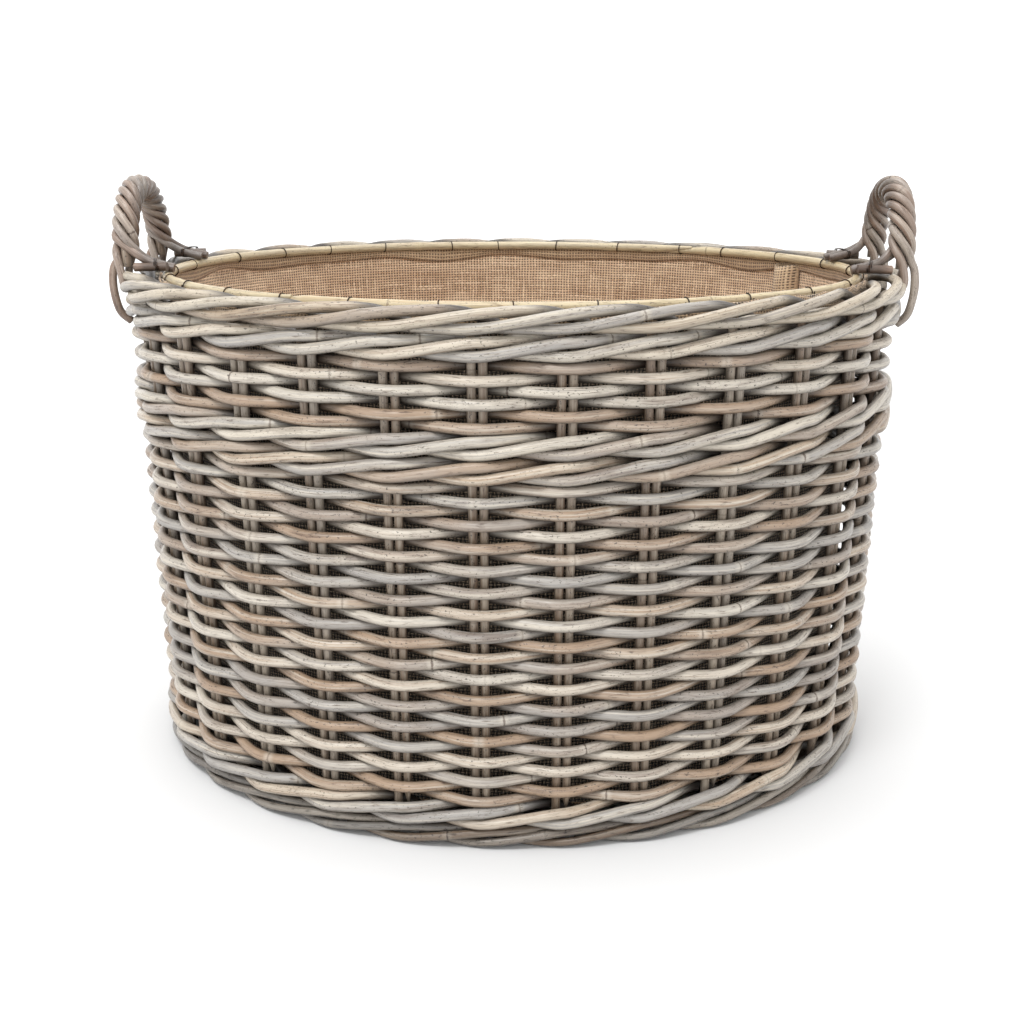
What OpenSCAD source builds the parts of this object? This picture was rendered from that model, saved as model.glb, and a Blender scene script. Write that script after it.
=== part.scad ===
// Oval log basket of round cane, woven over pairs of stakes.
// Three bands of waling, a plaited rim and foot, two rope handles and a sewn cloth liner.
// Millimetres, +Z up, +X across the two handles, origin under the middle of the foot.

/* [Basket] */
// Outside width over the rim border
rim_w = 700; // [560:5:860]
// Outside depth over the rim border
rim_d = 550; // [440:5:680]
// Height of the rim border above the floor
rim_h = 443; // [330:1:560]
// How much further in the foot stands than the rim, each side
wall_lean = 6; // [0:1:30]
// Courses of plain weave between the waist wale and the top wale
upper_courses = 6; // [2:2:12]

/* [Canes] */
// Thickness of the weavers and border canes
weaver_t = 8.8; // [6:0.1:11]
// Thickness of the upright stakes
stake_t = 7.2; // [5:0.1:9]
// Pairs of stakes around the wall
stake_pairs = 28; // [22:6:34]
// Space between the two stakes of a pair
pair_gap = 1.2; // [0.4:0.1:3]
// Play between a weaver and the stakes it passes
weave_clear = 0.4; // [0.2:0.1:1.5]
// Play between one course and the next
course_gap = 0.2; // [0.1:0.05:1]
// Where the first pair stands, as a share of the spacing
pair_start = 0.73; // [0:0.01:1]

/* [Base] */
// Height of the hoop that the basket stands on
foot_hoop_h = 12; // [8:0.5:20]
// Width of the hoop that the basket stands on
foot_hoop_w = 12; // [8:0.5:20]
// Thickness of the sticks across the base
stick_t = 8; // [6:0.5:12]
// Sticks across the base
sticks = 9; // [5:2:13]
// Thickness of the flat canes woven over the sticks
slat_t = 4; // [2:0.5:6]
// Width of the flat canes woven over the sticks
slat_w = 17; // [10:1:30]
// Space between neighbouring flat canes
slat_gap = 3; // [1:0.5:10]

/* [Liner] */
// Thickness of the cloth
cloth_t = 2; // [1:0.1:3]
// Play around the cloth
cloth_clear = 0.5; // [0.2:0.1:2]
// Play between the folded hem and the waling below it
hem_clear = 0.6; // [0.2:0.1:4]
// How far the spare cloth of the pleat stands in
pleat_in = 14; // [6:1:30]
// Length of the pleat down from the rim
pleat_h = 70; // [30:5:150]

/* [Handles] */
// Space between the middles of a handle's two legs
handle_span = 100; // [80:5:180]
// Height of the handles above the rim border
handle_rise = 80; // [60:2:140]
// Thickness of the canes in the handles
handle_t = 7; // [5:0.25:9]
// How far outside the middle line of the wall the rope stands
handle_out = 12; // [0:1:20]
// Length of one turn of the rope, in thicknesses of its canes
handle_lay = 8; // [7:0.5:14]
// Length of cane tail past the middle of the rim hoop
tail_in = 4; // [0:1:12]
// How far below the top wale the outer cane tail ends
tail_out = 6; // [4:1:30]
// Thickness of the binding wire
wire_t = 1.8; // [1:0.1:3]

/* [Hidden] */
rod_sides = 6;
stake_fn = 24;

// Reach of the weave either side of the middle line of the wall
half_pair = (stake_t + pair_gap) / 2;
dwell = half_pair + stake_t / 2;
throw = (stake_t + weaver_t) / 2 + weave_clear;
border_rise = weaver_t * 4 / 3;
border_throw = weaver_t * 1.56;
border_out = border_throw + weaver_t / 2;

// Plan of the middle line of the wall
function half_w(z) = rim_w / 2 - border_out - wall_lean * (1 - z / rim_h);
function half_d(z) = rim_d / 2 - border_out - wall_lean * (1 - z / rim_h);
mid_w = half_w(rim_h / 2);
mid_d = half_d(rim_h / 2);
plan_steps = 360;
function step_len(i) = norm([mid_w * (cos(i + 1) - cos(i)), mid_d * (sin(i + 1) - sin(i))]);
arc = [for (i = 0, s = 0; i <= plan_steps; s = s + step_len(i), i = i + 1) [s, i]];
round_len = arc[plan_steps][0];
pair_pitch = round_len / stake_pairs;
end_r = mid_d * mid_d / mid_w;

// Waling: each cane passes outside two pairs, climbing, then inside one
wale_rise = weaver_t * 7 / 6;
wale_slope = 2.4 * throw / (pair_pitch - dwell) + pair_pitch / (2 * end_r);
wale_throw = throw * norm([1, wale_slope]) + half_pair * wale_slope;
wale_h = wale_rise + weaver_t;
wall_in = wale_throw + weaver_t / 2;

// Foot border, then everything stacked on it
foot_t = stake_t;
foot_lift = 0.6;
foot_rise = foot_t * 1.52;
foot_throw = foot_t * 1.36;
foot_h = foot_lift + foot_rise + foot_t;
bottom_wale_z = foot_h + course_gap;
lower_z = bottom_wale_z + wale_h + course_gap;
border_z = rim_h - border_rise - weaver_t;
top_wale_z = border_z - course_gap - wale_h;
upper_pitch = weaver_t + course_gap;
upper_z = top_wale_z - upper_courses * upper_pitch;
waist_wale_z = upper_z - 2 * (wale_h + course_gap);
lower_room = waist_wale_z - lower_z;
lower_courses = 2 * floor(lower_room / (2 * (weaver_t + course_gap)));
lower_pitch = lower_room / lower_courses;
courses_per_lift = 4;
lower_lifts = ceil(lower_courses / courses_per_lift);
upper_lifts = ceil(upper_courses / courses_per_lift);

// Base
foot_hoop_out = foot_t * 0.8 + foot_t / 2 + 1.4;
stick_z = foot_hoop_h + course_gap + stick_t / 2;
slat_throw = (stick_t + slat_t) / 2 + course_gap;
slat_pitch = slat_w + slat_gap;
floor_z = stick_z + slat_throw + slat_t / 2 + course_gap;

// Cloth
cloth_out = wall_in + cloth_clear;
cloth_in = cloth_out + cloth_t;
cloth_top = rim_h - 5;
hoop_off = cloth_in + 0.2 + weaver_t / 2;
hoop_z = rim_h - weaver_t;

// Handles
rope_strands = 5;
rope_len = handle_span + handle_rise;
rope_turns = max(1, floor(rope_len / (handle_lay * handle_t)));
rope_lay = atan(PI * 2 * handle_t * rope_turns / rope_len);
rope_r = (handle_t + 3.5 * course_gap) / (2 * sin(180 / rope_strands) * cos(rope_lay));
core_t = 2 * rope_r - handle_t - 0.6;
rope_base_z = rim_h + 4;
rope_top_z = rim_h + handle_rise - rope_r - handle_t / 2;
rope_steps = 48;
tail_spread = handle_t * 0.7;
peg_spread = tail_spread + handle_t + 1;
tail_off = hoop_off + tail_in;
bind_off = border_throw;
over_h = handle_t / 2 + wire_t + 1.2;
outer_tail_off = border_out + handle_t / 2 + 0.6;
tuck_off = throw + (weaver_t + handle_t) / 2 + 0.6;

function two(n) = n < 10 ? str("0", n) : str(n);
function side_of(i) = let (t = turn_at(i) % 360) t > 315 || t <= 45 ? "right" : t <= 135 ? "back" : t <= 225 ? "left" : "front";
sides = ["front", "right", "back", "left"];
hands = ["left", "right"];

// ---- places on the wall ----

// Angle around the plan of pair number k, which may be a fraction
function turn_at(k) = let (s = round_len * (k + pair_start) / stake_pairs, w = floor(s / round_len))
  w * 360 + lookup(s - w * round_len, arc);

// A point at angle t, off millimetres outside the middle line, at height z
function wall_at(t, off, z) = let (a = half_w(z), b = half_d(z), n = [b * cos(t), a * sin(t), 0])
  [a * cos(t), b * sin(t), z] + off * n / norm(n);
function wall_pt(k, off, z) = wall_at(turn_at(k), off, z);
function outline(off, z, n = 96) = [for (i = [0 : n - 1]) let (p = wall_at(i * 360 / n, off, z)) [p.x, p.y]];

// ---- canes ----

function unit(v) = v / norm(v);
function along(p, i, closed) = let (n = len(p))
  unit(closed ? p[(i + 1) % n] - p[(i + n - 1) % n] : p[min(i + 1, n - 1)] - p[max(i - 1, 0)]);
function section(c, t, d, ref) = let (u = unit(cross(ref, t)), v = cross(t, u))
  [for (j = [0 : rod_sides - 1]) c + d / 2 * (cos(j * 360 / rod_sides) * u + sin(j * 360 / rod_sides) * v)];

// A cane of thickness d along a path of points
module cane(path, d, ref = [0, 0, 1]) {
  n = len(path);
  m = rod_sides;
  points = [for (i = [0 : n - 1]) each section(path[i], along(path, i, false), d, ref)];
  walls = [for (i = [0 : n - 2]) for (j = [0 : m - 1])
    [i * m + j, (i + 1) * m + j, (i + 1) * m + (j + 1) % m, i * m + (j + 1) % m]];
  ends = [[for (j = [0 : m - 1]) j], [for (j = [m - 1 : -1 : 0]) (n - 1) * m + j]];
  polyhedron(points = points, faces = concat(walls, ends));
}

// A flat ring between two offsets from the middle line
module ring(off_out, off_in, z, h) {
  translate([0, 0, z])
    linear_extrude(h)
      difference() {
        polygon(outline(off_out, z));
        polygon(outline(off_in, z));
      }
}

// One course: outside every other pair, inside the rest
function course_line(parity, off, z) = [for (i = [0 : stake_pairs - 1]) for (s = [-1, 1])
  let (side = (i + parity) % 2 == 0 ? 1 : -1, p = wall_pt(i + s * dwell / pair_pitch, side * throw + off, z)) [p.x, p.y]];
module course(parity, z) {
  color("tan")
    translate([0, 0, z])
      linear_extrude(weaver_t)
        difference() {
          polygon(course_line(parity, weaver_t / 2, z));
          polygon(course_line(parity, -weaver_t / 2, z));
        }
}
module lift(n, courses, z, pitch) {
  for (r = [(n - 1) * courses_per_lift : min(n * courses_per_lift, courses) - 1]) course(r % 2, z + r * pitch);
}
module lower_weave(n) lift(n, lower_courses, lower_z, lower_pitch);
module upper_weave(n) lift(n, upper_courses, upper_z, upper_pitch);

// Three canes that follow one another round the wall
function wale_step(m, z, first, last) = let (k = dwell / pair_pitch)
  m % 3 == 1 ? [wall_pt(m, wale_throw, z)]
  : m % 3 == 2 ? [wall_pt(m, wale_throw, z + wale_rise)]
  : concat(first ? [] : [wall_pt(m - k, -wale_throw, z + wale_rise)], last ? [] : [wall_pt(m + k, -wale_throw, z)]);
module wale(z0) {
  color("burlywood")
    for (j = [0 : 2]) {
      from = 3 * floor(stake_pairs * j / 3);
      to = 3 * floor(stake_pairs * (j + 1) / 3);
      cane([for (m = [from : to]) each wale_step(m, z0 + weaver_t / 2, m == from, m == to)], weaver_t);
    }
}
module bottom_wale() wale(bottom_wale_z);
module waist_wale_lower() wale(waist_wale_z);
module waist_wale_upper() wale(waist_wale_z + wale_h + course_gap);
module top_wale() wale(top_wale_z);

// Each border cane leaves a pair, climbs outside two more and turns in over the rim
module rim_border() {
  low = border_z + weaver_t / 2;
  high = low + border_rise;
  color("tan")
    for (i = [0 : stake_pairs - 1])
      cane([
        wall_pt(i, 0, low),
        wall_pt(i + 1, border_throw, low),
        wall_pt(i + 2, border_throw, high),
        wall_pt(i + 2.75, -weaver_t * 0.7, high)
      ], weaver_t);
}
module foot_border() {
  low = foot_lift + foot_t / 2;
  high = low + foot_rise;
  color("tan")
    for (i = [0 : stake_pairs - 1])
      cane([
        wall_pt(i - 2.75, -foot_t * 0.7, low),
        wall_pt(i - 2, foot_throw, low),
        wall_pt(i - 1, foot_throw, high),
        wall_pt(i, 0, high)
      ], foot_t);
}

// ---- stakes ----

module rod(p, q, d) {
  v = q - p;
  translate(p)
    rotate([0, acos(v.z / norm(v)), atan2(v.y, v.x)])
      cylinder(h = norm(v), d = d, $fn = stake_fn);
}
module stakes(side, s, z) {
  k = s * half_pair / pair_pitch;
  for (i = [0 : stake_pairs - 1])
    if (side_of(i) == side) rod(wall_pt(i + k, 0, z), wall_pt(i + k, 0, border_z - course_gap), stake_t);
}
module main_stakes(side) color("peru") stakes(side, -1, foot_h + course_gap);
module bye_stakes(side) color("sandybrown") stakes(side, 1, lower_z);

// ---- base ----

module foot_hoop() color("peru") ring(-foot_hoop_out, -foot_hoop_out - foot_hoop_w, 0, foot_hoop_h);
stick_w = half_w(stick_z) - cloth_out;
stick_d = half_d(stick_z) - cloth_out;
stick_pitch = 2 * stick_w / (sticks + 1);
function stick_x(j) = (j - (sticks + 1) / 2) * stick_pitch;
function reach(at, a, b) = b * sqrt(max(0, 1 - at * at / (a * a)));
module base_sticks() {
  color("peru")
    for (j = [1 : sticks]) {
      y = reach(stick_x(j), stick_w, stick_d);
      rod([stick_x(j), -y, stick_z], [stick_x(j), y, stick_z], stick_t);
    }
}
slat_rows = floor(0.94 * (stick_d - foot_hoop_w) / slat_pitch);
function slat_z(j, parity) = stick_z + ((j + parity) % 2 == 0 ? slat_throw : -slat_throw);
module slat(row) {
  y = row * slat_pitch;
  parity = (row + 100) % 2;
  room = reach(abs(y) + slat_w / 2, stick_d - foot_hoop_w, stick_w - foot_hoop_w);
  inner = [for (j = [1 : sticks]) if (abs(stick_x(j)) < room - stick_t) j];
  line = concat([[-room, slat_z(inner[0], parity)]],
    [for (j = inner) for (s = [-1, 1]) [stick_x(j) + s * stick_t / 2, slat_z(j, parity)]],
    [[room, slat_z(inner[len(inner) - 1], parity)]]);
  up = [for (p = line) p + [0, slat_t / 2]];
  down = [for (i = [len(line) - 1 : -1 : 0]) line[i] - [0, slat_t / 2]];
  translate([0, y + slat_w / 2, 0])
    rotate([90, 0, 0])
      linear_extrude(slat_w)
        polygon(concat(up, down));
}
module base_slats_odd() color("wheat") for (r = [-slat_rows : slat_rows]) if ((r + 100) % 2 == 1) slat(r);
module base_slats_even() color("burlywood") for (r = [-slat_rows : slat_rows]) if ((r + 100) % 2 == 0) slat(r);

// ---- liner ----

// A leaning cloth wall between two heights
module cloth_wall(off_out, off_in, z0, z1, n = 96) {
  function level(off, z) = [for (i = [0 : n - 1]) wall_at(i * 360 / n, off, z)];
  points = concat(level(-off_out, z0), level(-off_out, z1), level(-off_in, z1), level(-off_in, z0));
  faces = [for (l = [0 : 3]) for (i = [0 : n - 1])
    [l * n + i, ((l + 1) % 4) * n + i, ((l + 1) % 4) * n + (i + 1) % n, l * n + (i + 1) % n]];
  polyhedron(points = points, faces = faces);
}
module liner_side() color("rosybrown") cloth_wall(cloth_out, cloth_in, floor_z + cloth_t + 0.2, cloth_top);
module liner_base() color("rosybrown") translate([0, 0, floor_z]) linear_extrude(cloth_t) polygon(outline(-cloth_out, floor_z));
module liner_hem() color("tan") cloth_wall(cloth_out - cloth_t - 0.1, cloth_out - 0.1, border_z + hem_clear, cloth_top);
pleat_turn = 29;
module liner_pleat() {
  z = hoop_z - pleat_h - 0.3;
  p = wall_at(pleat_turn, -cloth_in - 0.3, z);
  n = p - wall_at(pleat_turn, 0, z);
  color("tan")
    translate(p)
      rotate([0, 0, atan2(n.y, n.x)])
        linear_extrude(pleat_h)
          polygon([[0.3, -5], [pleat_in, -2], [pleat_in, 2], [0.3, 5]]);
}

// ---- rim hoop and its wire ----

module rim_hoop() color("wheat") ring(-hoop_off + weaver_t / 2, -hoop_off - weaver_t / 2, hoop_z, weaver_t);
module rim_ties() {
  play = 0.3;
  reach_in = weaver_t + play;
  color("dimgray")
    for (i = [0 : stake_pairs - 1]) {
      t = turn_at(i + 0.5);
      p = wall_at(t, -cloth_in - play, hoop_z - play);
      n = wall_at(t, 1, hoop_z) - wall_at(t, 0, hoop_z);
      translate(p)
        rotate([90, 0, atan2(-n.y, -n.x)])
          translate([0, 0, -wire_t / 2])
            linear_extrude(wire_t)
              polygon([
                [0, 0], [reach_in, 0], [reach_in, weaver_t + 2 * play], [0, weaver_t + 2 * play],
                [0, weaver_t + 2 * play + wire_t], [reach_in + wire_t, weaver_t + 2 * play + wire_t],
                [reach_in + wire_t, -wire_t], [0, -wire_t]
              ]);
    }
}

// ---- handles: five canes laid round a core ----

leg_turn = asin(handle_span / 2 / half_d(rim_h));
leg_x = wall_at(leg_turn, handle_out, rim_h).x;
function arch(a) = let (c = cos(a), s = sin(a))
  [leg_x, -handle_span / 2 * sign(c) * pow(abs(c), 0.9), rope_base_z + (rope_top_z - rope_base_z) * pow(abs(s), 0.9)];
function arch_dir(a) = unit(arch(min(a + 1, 179.9)) - arch(max(a - 1, 0.1)));
function strand_pt(n, i) = let (a = 180 * i / rope_steps, f = 360 * rope_turns * i / rope_steps + 360 * n / rope_strands,
  t = arch_dir(a), u = cross([1, 0, 0], t)) arch(a) + rope_r * (cos(f) * [1, 0, 0] + sin(f) * u);
function leg_pt(side, spread, off, z) = let (y = side * (handle_span / 2 + spread), t = asin(y / half_d(z)),
  n = unit([half_d(z) * cos(t), half_w(z) * sin(t)])) [wall_at(t, 0, z).x + off / n.x, y, z];
// Cane 0 ends outside the border, 2 and 3 cross over it and end on the hoop, 1 and 4 end on the border
function tail(n, side) =
  n == 0 ? [leg_pt(side, 0, outer_tail_off, rim_h - 2), leg_pt(side, 0, outer_tail_off, top_wale_z + 4),
    leg_pt(side, 0, tuck_off, top_wale_z - tail_out)]
  : n == 2 || n == 3 ? let (spread = (n == 2 ? 1 : -1) * tail_spread)
    [leg_pt(side, spread, 0, rim_h + over_h), leg_pt(side, spread, -tail_off, rim_h + over_h)]
  : let (p = strand_pt(n, side < 0 ? 0 : rope_steps)) [[p.x, p.y, rim_h + course_gap]];
module handle_strand(n) {
  foot = tail(n - 1, -1);
  path = concat([for (i = [len(foot) - 1 : -1 : 0]) foot[i]], [for (i = [0 : rope_steps]) strand_pt(n - 1, i)], tail(n - 1, 1));
  cane(path, handle_t, [1, 0.001, 0]);
}
module handle_core() cane([for (i = [0 : rope_steps]) arch(180 * i / rope_steps)], core_t, [1, 0.001, 0]);
// A short peg lies beside the two canes that cross the border, and wire holds the three together
module handle_pegs() {
  for (side = [-1, 1]) rod(leg_pt(side, peg_spread, 0, rim_h + over_h), leg_pt(side, peg_spread, -tail_off, rim_h + over_h), handle_t);
}
module handle_ties() {
  hold = handle_t + 1.6;
  for (side = [-1, 1]) {
    p = leg_pt(side, -tail_spread, -bind_off, rim_h + over_h);
    q = leg_pt(side, peg_spread, -bind_off, rim_h + over_h);
    translate((p + q) / 2)
      rotate([90, 0, atan2(q.y - p.y, q.x - p.x)])
        linear_extrude(wire_t)
          difference() {
            square([norm(q - p) + hold + 2 * wire_t, hold + 2 * wire_t], center = true);
            square([norm(q - p) + hold, hold], center = true);
          }
  }
}
module on_hand(h) rotate([0, 0, h == "left" ? 180 : 0]) children();

foot_hoop();
foot_border();
base_sticks();
base_slats_odd();
base_slats_even();
bottom_wale();
for (n = [1 : lower_lifts]) lower_weave(n);
waist_wale_lower();
waist_wale_upper();
for (n = [1 : upper_lifts]) upper_weave(n);
top_wale();
rim_border();
rim_hoop();
rim_ties();
for (s = sides) main_stakes(s);
for (s = sides) bye_stakes(s);
liner_side();
liner_base();
liner_hem();
liner_pleat();
for (h = hands) color("peru") on_hand(h) handle_core();
for (h = hands) for (n = [1 : rope_strands])
  color("tan") on_hand(h) handle_strand(n);
for (h = hands) color("wheat") on_hand(h) handle_pegs();
for (h = hands) color("dimgray") on_hand(h) handle_ties();
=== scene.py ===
# %% [markdown]
# # An oval log basket of round cane
#
# The basket is woven from one material, round rattan cane, used in many ways: upright
# stakes in pairs, a plain weave over and under them, bands of three-cane waling, a
# plaited rim and foot, and two handles laid like rope. A hessian bag lines it. The lesson
# is one idea used again and again: first work out the line that a cane follows, and then
# let one Geometry Nodes tree give every such line its thickness, its joints and its grain.

import math

import bpy
import numpy as np
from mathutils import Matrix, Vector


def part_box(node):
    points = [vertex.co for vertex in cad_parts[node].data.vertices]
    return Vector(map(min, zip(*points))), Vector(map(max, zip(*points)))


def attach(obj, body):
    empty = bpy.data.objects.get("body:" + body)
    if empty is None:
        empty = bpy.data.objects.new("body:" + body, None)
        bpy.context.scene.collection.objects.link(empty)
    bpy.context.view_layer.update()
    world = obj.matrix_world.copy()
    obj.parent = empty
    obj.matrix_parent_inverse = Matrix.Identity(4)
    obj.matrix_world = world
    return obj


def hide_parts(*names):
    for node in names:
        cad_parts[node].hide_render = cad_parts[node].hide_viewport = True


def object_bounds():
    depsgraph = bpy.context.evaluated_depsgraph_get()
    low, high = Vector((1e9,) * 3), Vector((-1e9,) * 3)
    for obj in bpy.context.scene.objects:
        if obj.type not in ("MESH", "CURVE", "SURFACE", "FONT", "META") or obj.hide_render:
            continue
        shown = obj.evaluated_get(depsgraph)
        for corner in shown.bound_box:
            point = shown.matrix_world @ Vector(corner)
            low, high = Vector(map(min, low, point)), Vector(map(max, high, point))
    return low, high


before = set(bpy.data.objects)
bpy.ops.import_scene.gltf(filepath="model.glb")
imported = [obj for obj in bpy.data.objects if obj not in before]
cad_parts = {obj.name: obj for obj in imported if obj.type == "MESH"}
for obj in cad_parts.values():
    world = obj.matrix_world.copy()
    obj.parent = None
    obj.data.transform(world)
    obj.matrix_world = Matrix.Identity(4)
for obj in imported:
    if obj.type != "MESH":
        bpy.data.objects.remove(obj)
cad_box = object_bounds()
print("frame:", len(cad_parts), "nodes; box", cad_box)

# %% [markdown]
# ## The sizes that everything follows
#
# The plan of the wall is an ellipse. Places along it are counted in pairs of stakes, since
# every pattern in the weave repeats from pair to pair. A point on the wall is then three
# numbers: k, how many pairs round; off, how far outside the middle line of the wall; and
# z, the height. Heights come from the frame's own boxes.

# %% Sizes in metres
RIM_W, RIM_D = 0.700, 0.550
WALL_LEAN = 0.006
CANE_T = 0.0088
STAKE_T = 0.0072
PAIRS = 28
PAIR_START = 0.73
PAIR_GAP = 0.0012
RIM_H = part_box("rim_border")[1][2]
COURSE_GAP = 0.0002
WEAVE_CLEAR = 0.0004
BORDER_THROW = CANE_T * 1.56
BORDER_OUT = BORDER_THROW + CANE_T / 2
THROW = (STAKE_T + CANE_T) / 2 + WEAVE_CLEAR
HALF_PAIR = (STAKE_T + PAIR_GAP) / 2
rng = np.random.default_rng(7)


def half_w(z):
    return RIM_W / 2 - BORDER_OUT - WALL_LEAN * (1 - np.asarray(z) / RIM_H)


def half_d(z):
    return RIM_D / 2 - BORDER_OUT - WALL_LEAN * (1 - np.asarray(z) / RIM_H)


angles = np.linspace(0, 2 * math.pi, 1441)
mid_plan = np.c_[half_w(RIM_H / 2) * np.cos(angles), half_d(RIM_H / 2) * np.sin(angles)]
lengths = np.r_[0, np.cumsum(np.linalg.norm(np.diff(mid_plan, axis=0), axis=1))]
ROUND = lengths[-1]
PITCH = ROUND / PAIRS
print(f"round the wall {ROUND:.3f} m, pairs {PITCH * 1000:.1f} mm apart")


def turn_at(k):
    """The angle round the plan of pair k."""
    along = (np.asarray(k, float) + PAIR_START) * PITCH
    return np.interp(along % ROUND, lengths, angles)


def wall_at(turn, off, z):
    """Points off metres outside the middle line of the wall, at height z."""
    a, b = half_w(z), half_d(z)
    nx, ny = b * np.cos(turn), a * np.sin(turn)
    size = np.hypot(nx, ny)
    z = z + 0 * turn
    return np.stack([a * np.cos(turn) + off * nx / size, b * np.sin(turn) + off * ny / size, z], -1)


def wall_pt(k, off, z):
    """The same, counted in pairs."""
    return wall_at(turn_at(k), off, z)


# %% [markdown]
# ## From a line to a cane
#
# A cane could be a bevelled curve, but a curve's bevel has no joints, no uneven girth and
# no coordinate that runs along the grain. The tree below takes plain poly-lines, turns
# them into curves, spaces their points evenly, varies the radius with noise and with a low
# collar at each leaf joint, and sweeps a circle along them. It also keeps two things for
# the material: grain, the place in the cane as if it were straight, and tone, a number
# that differs from cane to cane.


# %% Small helpers for node trees
def feed(tree, socket, value):
    """Links a socket to value if value is a socket too, and otherwise sets it."""
    if isinstance(value, bpy.types.NodeSocket):
        tree.links.new(value, socket)
    else:
        socket.default_value = value


def add(tree, kind, inputs=None, **settings):
    """A node with its settings, and its inputs set to values or linked to sockets."""
    node = tree.nodes.new(kind)
    for name, value in settings.items():
        setattr(node, name, value)
    for name, value in (inputs or {}).items():
        feed(tree, node.inputs[name], value)
    return node


def maths(tree, operation, *values, clamp=False):
    """The result of a Math node."""
    node = tree.nodes.new("ShaderNodeMath")
    node.operation, node.use_clamp = operation, clamp
    for socket, value in zip(node.inputs, values):
        feed(tree, socket, value)
    return node.outputs[0]


def plus(tree, *values):
    """The sum of two or more values."""
    total = values[0]
    for value in values[1:]:
        total = maths(tree, "ADD", total, value)
    return total


def times(tree, *values):
    """The product of two or more values."""
    total = values[0]
    for value in values[1:]:
        total = maths(tree, "MULTIPLY", total, value)
    return total


def minus(tree, a, b):
    return maths(tree, "SUBTRACT", a, b)


def vmaths(tree, operation, *values):
    """The result of a Vector Math node."""
    node = tree.nodes.new("ShaderNodeVectorMath")
    node.operation = operation
    for socket, value in zip(node.inputs, values):
        feed(tree, socket, value)
    return node.outputs["Vector"]


def scaled_by(tree, vector, factor):
    node = tree.nodes.new("ShaderNodeVectorMath")
    node.operation = "SCALE"
    feed(tree, node.inputs[0], vector)
    feed(tree, node.inputs["Scale"], factor)
    return node.outputs["Vector"]


def ramp(tree, value, low, high, to_low=0.0, to_high=1.0, smooth=True):
    """value from low..high to to_low..to_high, held at both ends."""
    kind = "SMOOTHSTEP" if smooth else "LINEAR"
    node = add(tree, "ShaderNodeMapRange", {0: value, 1: low, 2: high, 3: to_low, 4: to_high},
               interpolation_type=kind, clamp=True)
    return node.outputs[0]


def mix(tree, share, a, b):
    """A colour between a and b."""
    node = tree.nodes.new("ShaderNodeMix")
    node.data_type = "RGBA"
    for name, value in (("Factor_Float", share), ("A_Color", a), ("B_Color", b)):
        feed(tree, next(s for s in node.inputs if s.identifier == name), value)
    return next(s for s in node.outputs if s.identifier == "Result_Color")


def noise(tree, vector, scale, detail=2.0, rough=0.5):
    node = add(tree, "ShaderNodeTexNoise",
               {"Vector": vector, "Scale": scale, "Detail": detail, "Roughness": rough})
    return node.outputs["Fac"]


def new_tree(name, kind, sockets):
    """A node group. Each socket is a name with its value, or a kind of socket without one."""
    tree = bpy.data.node_groups.new(name, kind)
    for in_out, socket_kind, named in sockets:
        for label, value in named.items():
            socket = tree.interface.new_socket(label, in_out=in_out,
                                               socket_type="NodeSocket" + socket_kind)
            if value is not None:
                socket.default_value = value
    return tree, tree.nodes.new("NodeGroupInput").outputs


def group_outputs(tree, **results):
    """Links the results to the group's outputs, with _ for a space in a name."""
    out = tree.nodes.new("NodeGroupOutput")
    for label, value in results.items():
        tree.links.new(value, out.inputs[label.replace("_", " ")])


def joint_distance(tree, place, tone, spacing):
    """Metres to the nearest joint, which come closer on some canes than on others."""
    apart = times(tree, spacing, maths(tree, "MULTIPLY_ADD", tone, 0.5, 0.75))
    cycle = maths(tree, "FRACT", maths(tree, "DIVIDE", place, apart))
    return times(tree, maths(tree, "ABSOLUTE", minus(tree, cycle, 0.5)), apart)


print("joint_distance and the small helpers are ready")


# %% The cane tree
STEP, SIDES = 0.005, 12
JOINT_SPACING, JOINT_SWELL = 0.19, 0.05
SHIFT_BY_TONE = 37.3
COLLAR_NEAR, COLLAR_FAR = 0.0020, 0.0100


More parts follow.
